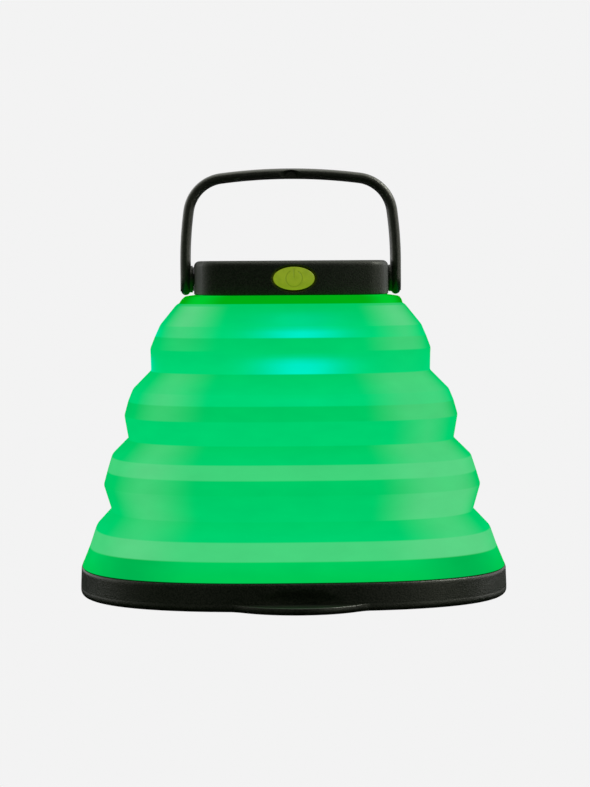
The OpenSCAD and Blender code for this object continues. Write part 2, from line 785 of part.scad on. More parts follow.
module handle() {
    color("#12140e")
    difference() {
        union() {
            intersection() {
                rotate([90, 0, 0]) translate([0, 0, -bail_reach]) linear_extrude(bail_depth)
                    polygon(bail_outline());
                union() {
                    rod_x(bail_reach, -2 * bail_a, 2 * bail_a, 0, z_pivot);
                    translate([-2 * bail_a, -bail_reach, z_pivot]) cube([4 * bail_a, bail_depth, bail_top]);
                }
            }
            both_sides() rod_x(hub_d / 2, hub_x, bail_a - bail_t / 2, 0, z_pivot);
        }
        both_sides() rod_x(pin_d / 2 + pin_gap, hub_x - slop, pin_tip + loose, 0, z_pivot);
        for (y = [-bail_reach - through, bail_reach - notch_depth])
            rod_y(notch_w / 2, y, y + through + notch_depth, 0, bail_top - notch_cover - notch_w / 2);
    }
}

base_ring();
base_plate();
clamp_frame();
base_screws();
foot_pads();
bellows();
head_shell();
neck_ring();
diffuser_lens();
head_screws();
reflector_tray();
white_leds();
colour_leds();
circuit_board();
board_chips();
battery_cell();
battery_pad();
battery_leads();
panel_leads();
tact_switch();
switch_plunger();
button_cap();
usb_socket();
usb_tongue();
port_cover();
top_cover();
solar_panel();
solar_cells();
panel_glaze();
pivot_pins();
pivot_washers();
handle();
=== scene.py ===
"""Looks of the collapsible camping lantern: lit silicone bellows, black plastic, studio and camera.

Lengths are in millimetres up to the point where a mesh is made, and the frame's axes are kept:
+Z up, pull tab and power button towards -Y.
"""
import json
import math

import bmesh
import bpy
from mathutils import Matrix, Vector


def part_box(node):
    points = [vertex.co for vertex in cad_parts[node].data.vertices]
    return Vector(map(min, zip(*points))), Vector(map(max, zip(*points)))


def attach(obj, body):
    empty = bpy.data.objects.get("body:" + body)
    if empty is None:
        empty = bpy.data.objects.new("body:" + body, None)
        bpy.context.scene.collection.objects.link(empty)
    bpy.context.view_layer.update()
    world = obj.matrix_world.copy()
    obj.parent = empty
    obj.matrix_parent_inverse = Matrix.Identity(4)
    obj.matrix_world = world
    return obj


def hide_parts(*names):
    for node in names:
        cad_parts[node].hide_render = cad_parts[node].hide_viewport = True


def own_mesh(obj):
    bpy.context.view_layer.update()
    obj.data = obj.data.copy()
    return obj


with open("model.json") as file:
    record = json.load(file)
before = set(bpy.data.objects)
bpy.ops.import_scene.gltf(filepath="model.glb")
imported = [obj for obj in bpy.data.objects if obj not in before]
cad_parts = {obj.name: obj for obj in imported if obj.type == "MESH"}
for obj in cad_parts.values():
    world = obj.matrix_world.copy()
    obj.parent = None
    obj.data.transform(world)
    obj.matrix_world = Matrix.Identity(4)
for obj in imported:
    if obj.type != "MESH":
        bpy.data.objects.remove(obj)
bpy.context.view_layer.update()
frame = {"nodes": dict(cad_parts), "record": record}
nodes = frame["nodes"]
slot_of = {part["node"]: part["material_slot"] for part in frame["record"]["subparts"]}
scene = bpy.context.scene

MM = 0.001
TURN = math.tau


def box_mm(node):
    """Lowest and highest corner of a CAD node, in millimetres."""
    low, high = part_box(node)
    return low / MM, high / MM


# ---- sizes shared with the CAD source that no box gives ----

BASE_SQUARE = 2.8                    # roundness of base and bellows seen from above
NECK_SQUARE = 4.0                    # roundness of the collar and neck
COLLAR_PROUD = 3.9                   # how far the collar stands out from the case
COLLAR_H = 2.4                       # height of the collar's edge
COLLAR_FADE = 0.19                   # share of the height over which its squareness fades
SKIN = 1.2                           # wall of the silicone
LIP_T = 1.6                          # wall of its lip
FLANGE_T = 1.4                       # thickness of its flange under the case
RING_WALL = 2.8
LEDGE_IN = 51.5                      # inner half-width of the ring's ledge
FOOT_IN = 55.0                       # inner half-width of the ring's foot
BASE_LEAN = 0.2                      # how much narrower the ring's top edge is
HEAD_CORNER = 5.9                    # corner radius of the case
HEAD_BOW = math.radians(11.8)        # angle that a bowed side turns by up to its corner
HEAD_EDGE = 1.6                      # rounding of the case's top edge
HEAD_WALL = 1.6
HEAD_FLOOR = 1.4                     # thickness of the case's floor
RIM_W = 2.9                          # rim round the solar panel's well
NECK_IN = 23.4
NECK_OUT = 25.0
BAIL_T = 3.0                         # thickness of the handle's strap
BAIL_ARCH = 155.0                    # radius of its top bar
BAIL_BEND = 12.2                     # radius of its corners
LEG_BEND = 105.0                     # radius of each leg's inward curve above the case
HUB_R = 3.8
HUB_GAP = 0.33                       # gap between the case and each of the handle's hubs
BUTTON_W = 11.6
COVER_T = 1.2                        # thickness of the top cover
SKIN_GAP = 0.1                       # gap between the silicone and the case above it
CELL_COUNT = 5                       # solar cells in a row
CELL_GAP = 0.6
BEAD_R = 0.4                         # radius of the port cover's hinge bead
TAB_W = 34.0
TAB_T = 2.0
SCOOP_R = 4.4                        # section radius of the finger scoop
SCOOP_SWEEP = 30.0                   # radius that the section is swept round
SCOOP_DEPTH = 1.6

# ---- sizes, from the frame ----

ring_low, ring_high = box_mm("base_ring")
skin_low, skin_high = box_mm("bellows")
case_low, case_high = box_mm("head_shell")
bail_low, bail_high = box_mm("handle")
cap_low, cap_high = box_mm("button_cap")
flap_low, flap_high = box_mm("port_cover")
pads_low, pads_high = box_mm("foot_pads")
screws_low, screws_high = box_mm("base_screws")
cells_low, cells_high = box_mm("solar_cells")

base_a = ring_high.x                 # half-width of the base
base_h = ring_high.z                 # height of the base ring
tab_out = -ring_low.y - base_a       # how far the pull tab stands out
plate_t = box_mm("base_plate")[1].z
z_ledge = skin_low.z                 # the silicone's lip stands on the ring's ledge
skirt_a = skin_high.x                # half-width of the bellows where they meet the ring
z_head = skin_high.z + SKIN_GAP      # underside of the case
head_a = case_high.x                 # half-width of the case
z_top = case_high.z                  # top of the case
z_neck = case_low.z                  # lower end of the neck
z_well = box_mm("top_cover")[1].z - COVER_T   # ledge under the top cover
bail_reach = bail_high.y             # half the depth of the handle's strap
bail_top = bail_high.z
z_pivot = bail_low.z + bail_reach
z_button = (cap_low.z + cap_high.z) / 2
button_face = cap_low.y
button_h = cap_high.z - cap_low.z
flap_w = flap_high.x - flap_low.x
z_hinge = flap_high.z - BEAD_R       # axis of the port cover's hinge
cell_pitch = (cells_high.x - cells_low.x + CELL_GAP) / CELL_COUNT

# Each tier from the neck down: its fold, shoulder, crease and rim, as hundredths of the way
# out from the collar to the skirt and down from the collar to the ring.
TIERS = [
    [(3, 0.7), (19, 8.2), (24, 12.4), (29, 17.2)],
    [(28.5, 25.8), (47, 33), (51.5, 37.2), (55.5, 42.8)],
    [(51.5, 51.8), (68.5, 58.3), (73, 63.8), (77, 69.2)],
    [(69.5, 79), (86, 85.8), (92, 92.6)],
]
# The collar from its edge up to the case, as hundredths in and up.
COLLAR = [(0, 0), (10, 38), (33, 79), (92, 92)]

collar_a = head_a + COLLAR_PROUD
z_collar = z_head - COLLAR_H
lip_out = base_a - RING_WALL - 0.2   # outer half-width of the silicone's lip inside the ring
hub_x = head_a + HUB_GAP             # inner face of the handle's hubs
bail_a = bail_high.x                 # half-width over the handle's legs


# ---- small helpers ----

def mix(a, b, share):
    return a + (b - a) * share


def blend(a, b, share):
    """Two points or colours mixed number by number."""
    return tuple(mix(p, q, share) for p, q in zip(a, b))


def smooth(value, low, high):
    """0 below low, 1 above high, and a soft step between."""
    t = min(max((value - low) / (high - low), 0.0), 1.0)
    return t * t * (3 - 2 * t)


def soft_max(value, softness):
    """max(value, 0) with a parabola between -softness and softness."""
    if abs(value) >= softness:
        return max(value, 0.0)
    return (value + softness) ** 2 / (4 * softness)


def arc(centre, r, start, end, steps):
    """Points of an arc in a plane, angles in degrees."""
    turns = [math.radians(mix(start, end, i / steps)) for i in range(steps + 1)]
    return [(centre[0] + r * math.cos(t), centre[1] + r * math.sin(t)) for t in turns]


def loft(rings, looped=False, capped=False):
    """Quads between rings of equally many points, counter-clockwise when seen from their end."""
    count = len(rings[0])
    points = [p for ring in rings for p in ring]
    faces = []
    for k in range(len(rings) if looped else len(rings) - 1):
        low = k * count
        high = (k + 1) % len(rings) * count
        for i in range(count):
            j = (i + 1) % count
            faces.append((low + i, low + j, high + j, high + i))
    if capped:
        last = (len(rings) - 1) * count
        faces.append(tuple(range(count - 1, -1, -1)))
        faces.append(tuple(range(last, last + count)))
    return points, faces


def joined(shapes):
    """Several shapes as one."""
    points, faces = [], []
    for more_points, more_faces in shapes:
        shift = len(points)
        points += more_points
        faces += [tuple(i + shift for i in face) for face in more_faces]
    return points, faces


def moved(shape, matrix):
    points, faces = shape
    return [tuple(matrix @ Vector(p)) for p in points], faces


def turned_profile(profile, steps):
    """A closed solid of revolution round Z from (radius, height) pairs."""
    turns = [TURN * i / steps for i in range(steps)]
    rings = [[(r * math.cos(t), r * math.sin(t), z) for t in turns] for r, z in profile]
    return loft(rings, capped=True)


def mesh_in_mm(name, shape):
    points, faces = shape
    mesh = bpy.data.meshes.new(name)
    mesh.from_pydata([tuple(c * MM for c in p) for p in points], [], faces)
    return mesh


def placed(name, data):
    """A new object in the scene for a mesh, lamp or camera."""
    obj = bpy.data.objects.new(name, data)
    scene.collection.objects.link(obj)
    return obj


def shade(mesh, crease):
    """Smooth shading, but edges sharper than crease degrees stay sharp."""
    mesh.shade_smooth()
    mesh.set_sharp_from_angle(angle=math.radians(crease))


def mesh_object(name, shape, crease=35):
    """A cleaned and shaded object from points and faces in millimetres."""
    mesh = mesh_in_mm(name, shape)
    work = bmesh.new()
    work.from_mesh(mesh)
    bmesh.ops.remove_doubles(work, verts=work.verts, dist=1e-7)
    bmesh.ops.dissolve_degenerate(work, edges=work.edges, dist=1e-7)
    bmesh.ops.recalc_face_normals(work, faces=work.faces)
    work.to_mesh(mesh)
    work.free()
    shade(mesh, crease)
    return placed(name, mesh)


def apply_modifiers(obj, crease):
    depsgraph = bpy.context.evaluated_depsgraph_get()
    mesh = bpy.data.meshes.new_from_object(obj.evaluated_get(depsgraph))
    obj.modifiers.clear()
    old = obj.data
    obj.data = mesh
    bpy.data.meshes.remove(old)
    shade(mesh, crease)


def carve(obj, cutters, crease):
    """Cuts shapes out of an object."""
    tools = [mesh_object(f"{obj.name}_cutter", shape) for shape in cutters]
    for tool in tools:
        cut = obj.modifiers.new("cut", "BOOLEAN")
        cut.operation = "DIFFERENCE"
        cut.solver = "EXACT"
        cut.object = tool
    apply_modifiers(obj, crease)
    for tool in tools:
        bpy.data.objects.remove(tool)


def fit_in(obj, slot, body, *stands_for, look=None):
    """Gives a piece its slot's material, or another look, hangs it on its body and hides the CAD
    nodes that it stands for."""
    obj.data.materials.clear()
    obj.data.materials.append(materials[look or slot])
    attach(obj, body)
    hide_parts(*stands_for)
    return obj


# ---- outlines seen from above ----

def superellipse(a, square, angles):
    points = []
    for t in angles:
        r = a * (abs(math.cos(t)) ** square + abs(math.sin(t)) ** square) ** (-1 / square)
        points.append((r * math.cos(t), r * math.sin(t)))
    return points


def side_radius(a, corner):
    """Radius of the bowed sides of a square with round corners."""
    grip = math.cos(HEAD_BOW) - math.sin(HEAD_BOW)
    return (a - corner * grip) / (math.sin(HEAD_BOW) + 1 - math.cos(HEAD_BOW))


def bowed_radius(a, corner, t):
    """Distance from the middle to a square with bowed sides and round corners."""
    t = abs((t + math.pi / 4) % (math.pi / 2) - math.pi / 4)
    side_r = side_radius(a, corner)
    middle = (side_r - corner) * math.sin(HEAD_BOW)
    back = side_r - a
    joint = math.atan2(side_r * math.sin(HEAD_BOW), side_r * math.cos(HEAD_BOW) - back)
    if t < joint:
        return math.sqrt(side_r ** 2 - (back * math.sin(t)) ** 2) - back * math.cos(t)
    off = t - math.pi / 4
    reach = middle * math.sqrt(2)
    return reach * math.cos(off) + math.sqrt(corner ** 2 - (reach * math.sin(off)) ** 2)


def case_angles():
    """Directions round the case, closer together at the corners."""
    side_end, side_steps, corner_steps = 35, 18, 22
    quarter = [mix(-side_end, side_end, i / side_steps) for i in range(side_steps)]
    quarter += [mix(side_end, 90 - side_end, i / corner_steps) for i in range(corner_steps)]
    return [math.radians(t + 90 * q) for q in range(4) for t in quarter]


CASE_ANGLES = case_angles()


def case_ring(inset, z):
    ring = []
    for t in CASE_ANGLES:
        r = bowed_radius(head_a - inset, HEAD_CORNER - inset, t)
        ring.append((r * math.cos(t), r * math.sin(t), z))
    return ring


def case_side(x):
    """How far the bowed side falls back at a distance x from its middle."""
    side_r = side_radius(head_a, HEAD_CORNER)
    return side_r - math.sqrt(side_r ** 2 - x * x)


# ---- materials ----

class Paint:
    """One Principled material, with short calls for the nodes that vary it."""

    def __init__(self, name, color, roughness, specular=0.5, metallic=0.0):
        self.name = name
        self.material = bpy.data.materials.new(name)
        self.material.use_nodes = True
        self.nodes = self.material.node_tree.nodes
        self.links = self.material.node_tree.links
        self.shader = self.nodes["Principled BSDF"]
        self.set("Base Color", (*color, 1))
        self.set("Roughness", roughness)
        self.set("Specular IOR Level", specular)
        self.set("Metallic", metallic)
        self.place = self.nodes.new("ShaderNodeTexCoord").outputs["Object"]

    def set(self, socket, value):
        self.shader.inputs[socket].default_value = value

    def link(self, output, socket):
        self.links.new(output, socket)

    def noise(self, size, detail=2.0, stretch=(1, 1, 1)):
        """Noise whose features are about size millimetres across."""
        place = self.nodes.new("ShaderNodeMapping")
        place.inputs["Scale"].default_value = stretch
        self.link(self.place, place.inputs["Vector"])
        noise = self.nodes.new("ShaderNodeTexNoise")
        noise.inputs["Scale"].default_value = 1 / (size * MM)
        noise.inputs["Detail"].default_value = detail
        self.link(place.outputs["Vector"], noise.inputs["Vector"])
        return noise.outputs["Fac"]

    def span(self, value, low, high, to_low=0.0, to_high=1.0):
        """Maps a value range onto another, clamped."""
        node = self.nodes.new("ShaderNodeMapRange")
        self.link(value, node.inputs["Value"])
        for socket, number in zip(("From Min", "From Max", "To Min", "To Max"),
                                  (low, high, to_low, to_high)):
            node.inputs[socket].default_value = number
        return node.outputs["Result"]

    def maths(self, operation, a, b=None):
        node = self.nodes.new("ShaderNodeMath")
        node.operation = operation
        for socket, value in zip(node.inputs, (a, b)):
            if isinstance(value, (int, float)):
                socket.default_value = value
            elif value is not None:
                self.link(value, socket)
        return node.outputs[0]

    def mix(self, share, a, b):
        """Colour a where share is 0 and b where it is 1."""
        node = self.nodes.new("ShaderNodeMix")
        node.data_type = "RGBA"
        self.link(share, node.inputs["Factor"])
        for socket, value in ((node.inputs[6], a), (node.inputs[7], b)):
            if isinstance(value, tuple):
                socket.default_value = (*value, 1)
            else:
                self.link(value, socket)
        return node.outputs[2]

    def color(self, output, socket="Base Color"):
        self.link(output, self.shader.inputs[socket])

    def roughness(self, value, low, high):
        self.link(self.span(value, 0.25, 0.75, low, high), self.shader.inputs["Roughness"])

    def bump(self, height, depth, strength):
        """Bumps up to depth millimetres high."""
        node = self.nodes.new("ShaderNodeBump")
        node.inputs["Strength"].default_value = strength
        node.inputs["Distance"].default_value = depth * MM
        self.link(height, node.inputs["Height"])
        self.link(node.outputs["Normal"], self.shader.inputs["Normal"])


def moulded_black(name, dark, light, roughness, specular):
    """Black plastic with a spark-eroded grain."""
    paint = Paint(name, dark, roughness, specular)
    paint.set("Specular Tint", (1.0, 1.0, 0.84, 1))
    fine = paint.noise(0.4, 3)
    broad = paint.noise(22, 2)
    grain = paint.span(fine, 0.4, 0.6)
    tone = paint.maths("MULTIPLY", grain, paint.span(broad, 0.2, 0.8, 0.6, 1))
    paint.color(paint.mix(tone, dark, light))
    paint.roughness(broad, roughness - 0.06, roughness + 0.08)
    paint.bump(fine, 0.09, 0.8)
    return paint


def plain(name, color, lighter, roughness, specular=0.5, metallic=0.0, grain=0.6, depth=0.01):
    """A moulded or plated finish with slight mottling."""
    paint = Paint(name, color, roughness, specular, metallic)
    mottle = paint.noise(grain, 3)
    paint.color(paint.mix(paint.span(mottle, 0.3, 0.7), color, lighter))
    paint.roughness(mottle, roughness - 0.05, roughness + 0.08)
    paint.bump(mottle, depth, 0.5)
    return paint


def silicone():
    """Silicone lit from inside: the colour of its glow, with a painted sheen and a painted shade in
    it, is painted on the mesh.
    """
    paint = Paint("silicone", (0.0, 0.08, 0.015), 0.6, 0.0)
    glow = paint.nodes.new("ShaderNodeAttribute")
    glow.attribute_name = "glow"
    cloud = paint.noise(9, 3, (1, 1, 2.5))
    tint = paint.nodes.new("ShaderNodeHueSaturation")
    paint.link(glow.outputs["Color"], tint.inputs["Color"])
    paint.link(paint.span(cloud, 0.25, 0.75, 0.965, 1.03), tint.inputs["Value"])
    paint.color(tint.outputs["Color"], "Emission Color")
    paint.set("Emission Strength", 1.0)
    paint.bump(paint.noise(0.5, 2), 0.01, 0.3)
    return paint


def button_silicone():
    """Yellow-green silicone, darker in the engraved symbol, with its colour also painted in as glow
    that stands for light on its face.
    """
    paint = Paint("button_silicone", (0.2, 0.32, 0.02), 0.5, 0.3)
    mark = paint.nodes.new("ShaderNodeAttribute")
    mark.attribute_name = "mark"
    cloud = paint.span(paint.noise(2.5, 3), 0.3, 0.7)
    face = paint.mix(cloud, (0.175, 0.255, 0.010), (0.225, 0.305, 0.014))
    tone = paint.mix(mark.outputs["Fac"], face, (0.155, 0.225, 0.009))
    paint.color(tone)
    # Painted light: the button's own colour glows, standing for light falling on its face.
    paint.color(tone, "Emission Color")
    paint.set("Emission Strength", 0.95)
    paint.bump(paint.noise(0.3, 2), 0.008, 0.4)
    return paint


def solar_cell():
    """Dark blue silicon with fine silver fingers across it and two busbars along it."""
    finger_pitch, finger_share = 1.6, 0.09
    busbar_at, busbar_half = 0.25, 0.045
    paint = Paint("solar_cell", (0.012, 0.02, 0.07), 0.28)
    split = paint.nodes.new("ShaderNodeSeparateXYZ")
    paint.link(paint.place, split.inputs[0])
    crystal = paint.nodes.new("ShaderNodeTexVoronoi")
    crystal.inputs["Scale"].default_value = 260
    paint.link(paint.place, crystal.inputs["Vector"])
    grain = paint.span(crystal.outputs["Color"], 0.1, 0.9)
    face = paint.mix(grain, (0.008, 0.013, 0.05), (0.016, 0.028, 0.1))
    row = paint.maths("MULTIPLY", split.outputs["Y"], 1 / (finger_pitch * MM))
    finger = paint.maths("LESS_THAN", paint.maths("FRACT", row), finger_share)
    along = paint.maths("MULTIPLY", split.outputs["X"], 1 / (cell_pitch * MM))
    across = paint.maths("FRACT", paint.maths("ADD", along, 0.5))
    off_axis = paint.maths("ABSOLUTE", paint.maths("SUBTRACT", across, 0.5))
    busbar = paint.maths("COMPARE", off_axis, busbar_at)
    busbar.node.inputs[2].default_value = busbar_half
    metal = paint.maths("MAXIMUM", finger, busbar)
    paint.color(paint.mix(metal, face, (0.5, 0.51, 0.52)))
    return paint


def glaze():
    paint = Paint("glaze", (0.92, 0.95, 0.97), 0.06)
    paint.set("Transmission Weight", 0.92)
    paint.set("IOR", 1.45)
    paint.bump(paint.noise(6, 2), 0.02, 0.2)
    return paint


def lens_plastic():
    paint = plain("lens_plastic", (0.78, 0.84, 0.78), (0.86, 0.9, 0.86), 0.5)
    paint.set("Transmission Weight", 0.4)
    return paint


def diode():
    paint = plain("diode", (0.85, 0.78, 0.4), (0.95, 0.9, 0.6), 0.25)
    paint.set("Emission Color", (0.1, 1.0, 0.35, 1))
    paint.set("Emission Strength", 1.5)
    return paint


CASE_BLACK = ((0.003, 0.014, 0.002), (0.034, 0.046, 0.026))
BASE_BLACK = ((0.004, 0.016, 0.003), (0.040, 0.052, 0.030))

PAINTS = [
    moulded_black("case_plastic", *CASE_BLACK, roughness=0.50, specular=0.4),
    moulded_black("handle_plastic", *CASE_BLACK, roughness=0.38, specular=0.8),
    moulded_black("base_plastic", *BASE_BLACK, roughness=0.38, specular=0.4),
    plain("inner_plastic", (0.018, 0.02, 0.016), (0.03, 0.032, 0.027), 0.5),
    silicone(),
    button_silicone(),
    plain("dark_rubber", (0.012, 0.013, 0.011), (0.022, 0.023, 0.02), 0.7, 0.3,
          grain=0.25, depth=0.02),
    plain("white_plastic", (0.72, 0.72, 0.69), (0.82, 0.82, 0.79), 0.4),
    lens_plastic(),
    diode(),
    plain("board", (0.006, 0.09, 0.035), (0.012, 0.15, 0.06), 0.35, grain=1.5),
    plain("dark_parts", (0.015, 0.016, 0.018), (0.03, 0.032, 0.035), 0.45),
    plain("steel", (0.48, 0.49, 0.5), (0.64, 0.65, 0.66), 0.3, metallic=1.0, grain=0.2),
    plain("cell_foil", (0.5, 0.52, 0.54), (0.7, 0.71, 0.73), 0.35, metallic=0.9, grain=4),
    plain("foam", (0.05, 0.05, 0.055), (0.1, 0.1, 0.11), 0.9, 0.2, grain=0.4, depth=0.1),
    plain("red_wire", (0.38, 0.015, 0.01), (0.5, 0.03, 0.02), 0.4),
    plain("panel_backing", (0.008, 0.012, 0.02), (0.014, 0.02, 0.032), 0.4),
    solar_cell(),
    glaze(),
]
materials = {paint.name: paint.material for paint in PAINTS}


# ---- bellows ----

BELLOWS_STEPS = 320
EDGE_SOFT = 0.9                      # length of each line's rounding, along the wall
FACET_ROWS = 5                       # steps along each line
SWAY = 0.4                           # how far the soft upper tiers sit off the axis, towards -X
SWAY_LOW, SWAY_TOP = 45, 80          # heights between which the sway is full

# Glow colours, with a painted sheen and a painted shade, as linear light.
DIM = (0.0, 0.570, 0.122)
BRIGHT = (0.0, 0.690, 0.200)
CYAN = (0.0, 0.84, 0.57)
# The next colour is a painted sheen: a painted reflection of studio light, mixed into the glow as a
# whitish tint.
PAINTED_SHEEN = (0.125, 0.650, 0.248)
NECK_GREEN = (0.0, 0.395, 0.0035)
NECK_EDGE = (0.0, 0.560, 0.024)
SKIRT_TOP = (0.0, 0.590, 0.113)
SKIRT_END = (0.0, 0.570, 0.084)
SKIRT_CORNER = (0.0, 0.450, 0.078)
# A painted shade: the glow darkened to nearly black where the silicone meets the ring.
SEAM_SHADE = (0.0, 0.03, 0.002)
SEAM_SHADE_H = 0.15                        # height of the painted dark shade above the ring
HOT_WIDTH = 11.0                     # half-width of the bright spot that the lamp makes
HOT_OFF = 2.0                        # its distance from the middle of a side
LEFT_START = 28                      # where the painted sheen at a left corner starts, in degrees
SHEEN_SPAN = 17                       # degrees over which a right patch of painted sheen reaches its full strength

# How each facet glows, from the neck down: light at its top and bottom (0 dim, 1 bright),
# painted sheen (a painted reflection, a whitish tint) in the middle of a side and at its left and
# right corners, where the right patch starts (degrees from the middle), and the lamp's bright spot
# at its top and bottom.
FACETS = [
    [(0.0, 0.55, 0.0, 0.82, 0.80, 28, 0.0, 0.2), (0.55, 0.75, 0.0, 0.45, 0.45, 30, 0.35, 1.0),
     (0.2, 0.35, 0.0, 0.15, 0.42, 26, 0.0, 0.0), (0.4, 0.7, 0.0, 0.0, 0.02, 28, 0.0, 1.0)],
    [(0.15, 0.6, 0.0, 0.42, 0.48, 21, 0.0, 0.0), (0.7, 0.7, 0.0, 0.55, 0.44, 22, 0.0, 0.05),
     (0.0, 0.1, 0.0, 0.34, 0.52, 22, 0.0, 0.0), (0.42, 0.5, 0.0, 0.0, 0.38, 30, 0.0, 0.0)],
    [(0.05, 0.4, 0.0, 0.45, 0.58, 22, 0.0, 0.0), (0.45, 0.45, 0.44, 0.78, 0.78, 20, 0.0, 0.0),
     (0.15, 0.1, 0.0, 0.42, 0.58, 23, 0.0, 0.0), (0.2, 0.35, 0.0, 0.50, 0.76, 21, 0.0, 0.0)],
    [(0.2, 0.45, 0.0, 0.34, 0.48, 27, 0.0, 0.0), (0.45, 0.45, 0.52, 0.82, 0.84, 20, 0.0, 0.0)],
]
# The same for the line between the topmost fold and the collar.
UNDER_COLLAR = (0.0, 0.0, 0.0, 0.3, 0.3, 28, 0.0, 0.0)


def tier_line(place):
    out, down = place
    return (mix(collar_a, skirt_a, out / 100), mix(z_collar, base_h, down / 100))


def collar_line(place):
    inward, up = place
    return (collar_a - COLLAR_PROUD * inward / 100, z_collar + COLLAR_H * up / 100)


def squareness(z):
    """The collar is as square as the neck, and the tiers are as round as the base."""
    fade = (z_collar - z) / (z_collar - base_h) / COLLAR_FADE
    return mix(BASE_SQUARE, NECK_SQUARE, max(0.0, 1 - fade))


def side_angle(angle):
    """Angle from the middle of the nearest side, positive to the right of who looks at it."""
    return (angle + math.pi / 4) % (math.pi / 2) - math.pi / 4


def facet_color(facet, share, angle, a):
    """Glow of a facet with its painted sheen, share of the way down it, at an angle round the
    bellows.
    """
    top, bottom, sheen_middle, sheen_left, sheen_right, right_start, hot_top, hot_bottom = facet
    side = side_angle(angle)
    color = blend(DIM, BRIGHT, mix(top, bottom, share))
    hot = mix(hot_top, hot_bottom, smooth(share, 0.1, 0.6))
    along = a * math.tan(side)
    color = blend(color, CYAN, hot * math.exp(-((along - HOT_OFF) / HOT_WIDTH) ** 2))
    turn = abs(math.degrees(side))
    # Corners take turns, so the front has a left patch of painted sheen and a right one and no
    # corner shows a step.
    if angle // (math.pi / 2) % 2 == 0:
        # The whitish tint mixed in here is a painted reflection of studio light.
        sheen = mix(sheen_middle, sheen_left, smooth(turn, LEFT_START, 45))
    else:
        sheen = mix(sheen_middle, sheen_right, smooth(turn, right_start, right_start + SHEEN_SPAN))
    return blend(color, PAINTED_SHEEN, sheen)


def skirt_color(share, angle, a):
    corner = smooth(abs(math.degrees(side_angle(angle))), 25, 45)
    return blend(blend(SKIRT_TOP, SKIRT_END, share), SKIRT_CORNER, corner)


def seam_shade_color(share, angle, a):
    """Painted shade: the glow darkens where the silicone goes down into the ring."""
    return blend(skirt_color(1.0, angle, a), SEAM_SHADE, smooth(share, 0.0, 0.7))


def collar_color(share, angle, a):
    corner = smooth(abs(math.degrees(side_angle(angle))), 32, 44)
    return blend(NECK_GREEN, NECK_EDGE, corner)


def lit(facet):
    return lambda share, angle, a: facet_color(facet, share, angle, a)


def soft_cut(line):
    """Share of a line that its rounding takes at either end."""
    return min(EDGE_SOFT / 2, 0.3 * line.length) / line.length


def bellows_rows():
    """Rows (half-width, height, colour rule, share down the facet) from the ring up to the case."""
    places = [(skirt_a, base_h), (skirt_a - 0.1, base_h + SEAM_SHADE_H)]
    places += [tier_line(p) for tier in TIERS for p in tier][::-1]
    places += [collar_line(p) for p in COLLAR]
    corners = [Vector(p) for p in places]
    rules = [seam_shade_color, skirt_color] + [lit(f) for tier in FACETS for f in tier][::-1]
    rules += [lit(UNDER_COLLAR)] + [collar_color] * 3
    rows = []
    last = len(corners) - 2
    for k in range(last + 1):
        low, high = corners[k], corners[k + 1]
        cut = soft_cut(high - low)
        start = 0.0 if k == 0 else cut
        end = 1 - cut if k < last else 1.0
        for i in range(FACET_ROWS + 1):
            t = mix(start, end, i / FACET_ROWS)
            p = low.lerp(high, t)
            rows.append((p.x, p.y, rules[k], 1 - t))
        if k < last:
            nearer = corners[k + 2]
            leave, enter = low.lerp(high, 1 - cut), high.lerp(nearer, soft_cut(nearer - high))
            for t, rule, share in ((0.3, rules[k], 0.0), (0.7, rules[k + 1], 1.0)):
                p = leave.lerp(high, t).lerp(high.lerp(enter, t), t)
                rows.append((p.x, p.y, rule, share))
    return rows


def bellows_inside(collar_in):
    """Rows of the unseen inner side, from the case down to the ring's ledge."""
    neck_in = NECK_OUT + 0.3
    flange_low = skin_high.z - FLANGE_T
    inside = [(neck_in, skin_high.z), (neck_in, flange_low), (collar_in, flange_low)]
    inside += [(a - SKIN, z) for a, z in (tier_line(p) for tier in TIERS for p in tier)]
    inside += [(lip_out - LIP_T, base_h), (lip_out - LIP_T, z_ledge)]
    return [(a, z, skirt_color, 0.5) for a, z in inside]


def make_bellows():
    angles = [TURN * i / BELLOWS_STEPS for i in range(BELLOWS_STEPS)]
    rows = bellows_rows()
    lip = [(lip_out, z_ledge, skirt_color, 1.0), (lip_out, base_h, skirt_color, 1.0)]
    seam = (head_a - 0.4, skin_high.z, collar_color, 0.0)
    rings, colors = [], []
    for a, z, rule, share in lip + rows + [seam] + bellows_inside(rows[-1][0] - 0.5):
        ring = superellipse(a, squareness(z), angles)
        off = SWAY * smooth(z, base_h, SWAY_LOW) * smooth(-z, -z_head, -SWAY_TOP)
        rings.append([(x - off, y, z) for x, y in ring])
        colors += [(*rule(share, t, a), 1.0) for t in angles]
    mesh = mesh_in_mm("bellows_skin", loft(rings, looped=True))
    glow = mesh.color_attributes.new("glow", "FLOAT_COLOR", "POINT")
    glow.data.foreach_set("color", [c for color in colors for c in color])
    shade(mesh, 60)
    obj = placed("bellows_skin", mesh)
    fit_in(obj, "silicone", "base", "bellows")
    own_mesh(obj)


# ---- base ring ----

RING_TOP = 0.7                       # rounding of the ring's top edge
RING_TIP = (0.9, 1.1)                # width and height of its lower edge's rounding
TAB_TIP = (1.2, 0.95)                # the same under the pull tab

tab_r = ((TAB_W / 2) ** 2 + tab_out ** 2) / (2 * tab_out)   # radius of the tab's outline


def tab_reach(x):
    """How far the pull tab stands out at a distance x from the middle."""
    if abs(x) >= tab_r:
        return 0.0
    return soft_max(math.sqrt(tab_r ** 2 - x * x) - tab_r + tab_out, 2.2)


def scoop(x, z):
    """Depth of the finger scoop in the ring's side."""
    up = z - TAB_T
    if abs(up) >= SCOOP_R or abs(x) > 20:
        return 0.0
    reach = SCOOP_SWEEP + math.sqrt(SCOOP_R ** 2 - up * up)
    away = SCOOP_SWEEP + SCOOP_R - SCOOP_DEPTH
    return soft_max(math.sqrt(reach ** 2 - x * x) - away, 0.6)


